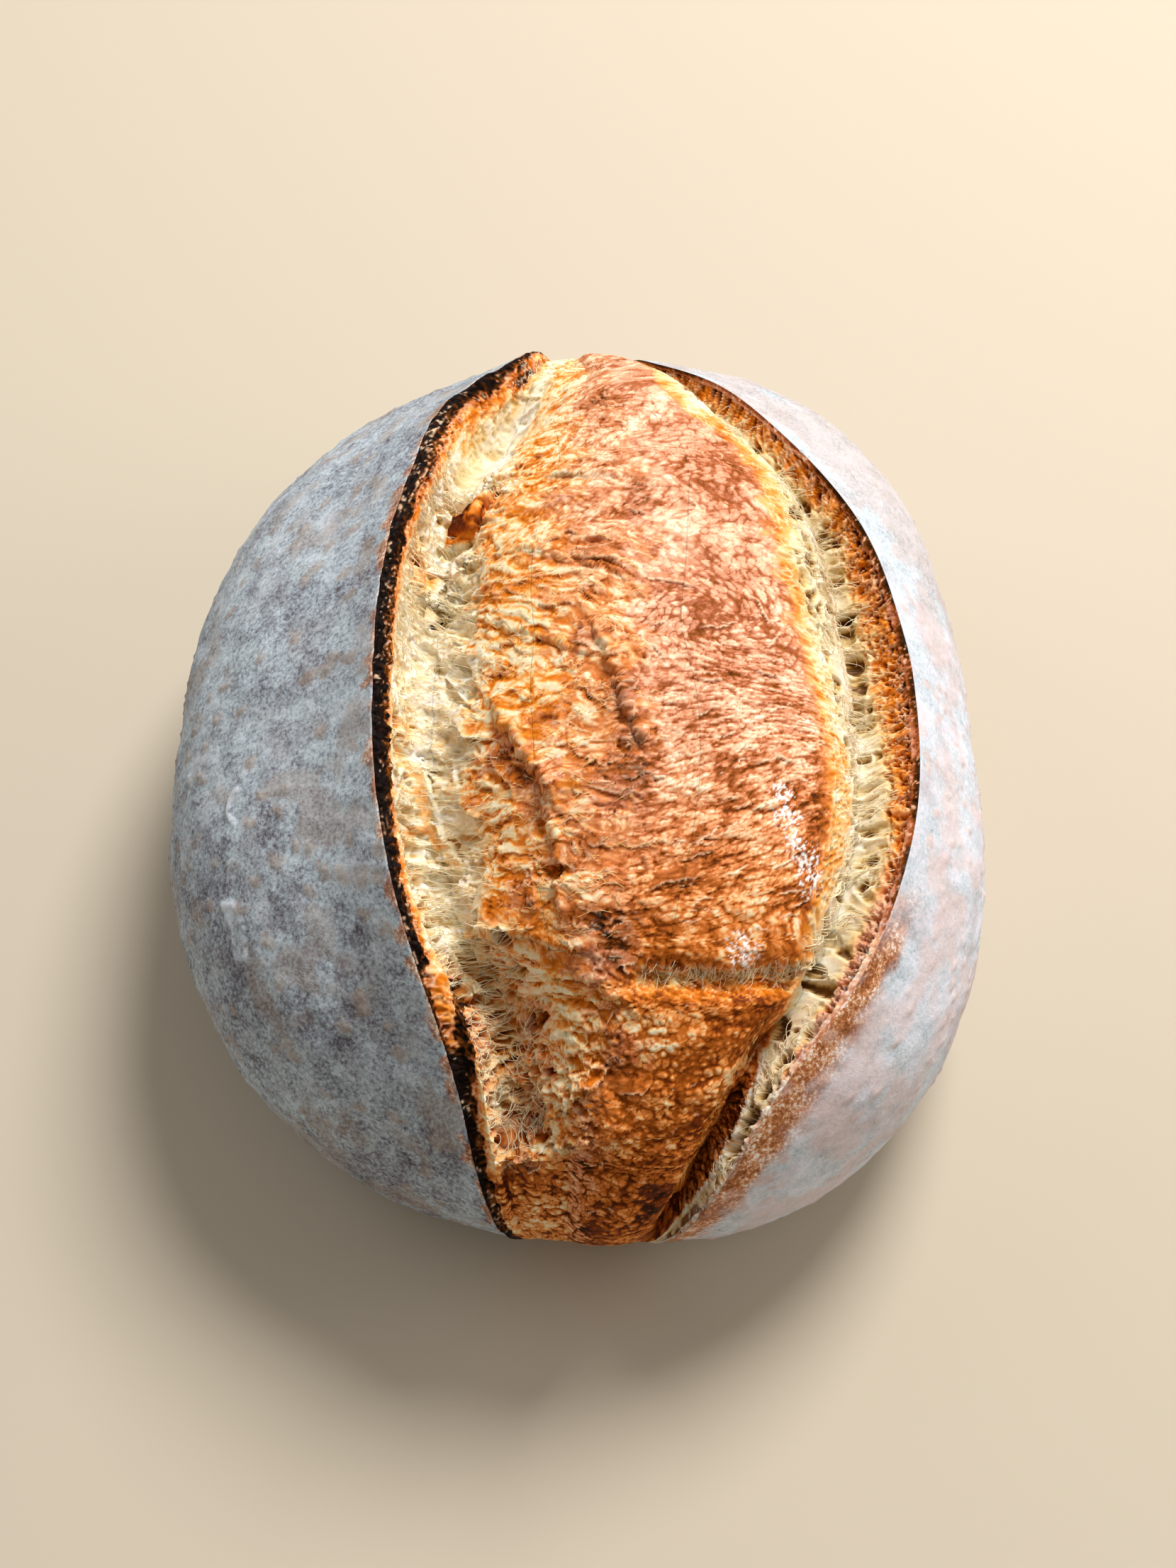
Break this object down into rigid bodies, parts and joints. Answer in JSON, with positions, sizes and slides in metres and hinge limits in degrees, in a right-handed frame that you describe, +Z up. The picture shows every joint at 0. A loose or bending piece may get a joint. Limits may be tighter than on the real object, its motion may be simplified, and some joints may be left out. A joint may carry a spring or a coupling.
{
  "type": "sourdough loaf",
  "caption": "Oval free-standing sourdough loaf, floured crust split along the top by one long slash, with a raised dark ear and torn golden crumb.",
  "frame": {"origin": "on the flat base, under the middle of the loaf's bounding box", "axes": "+Z up; +Y along the loaf's length to its far end; +X to the right across the slash, with the raised ear on the -X side"},
  "size_m": [0.1866, 0.2218, 0.1084],
  "materials": {
    "crust": "matt baked bread crust, floured outside the slash, with torn golden crumb inside it"
  },
  "bodies": {
    "root": {"sourdough_loaf": "crust"}
  },
  "joints": []
}
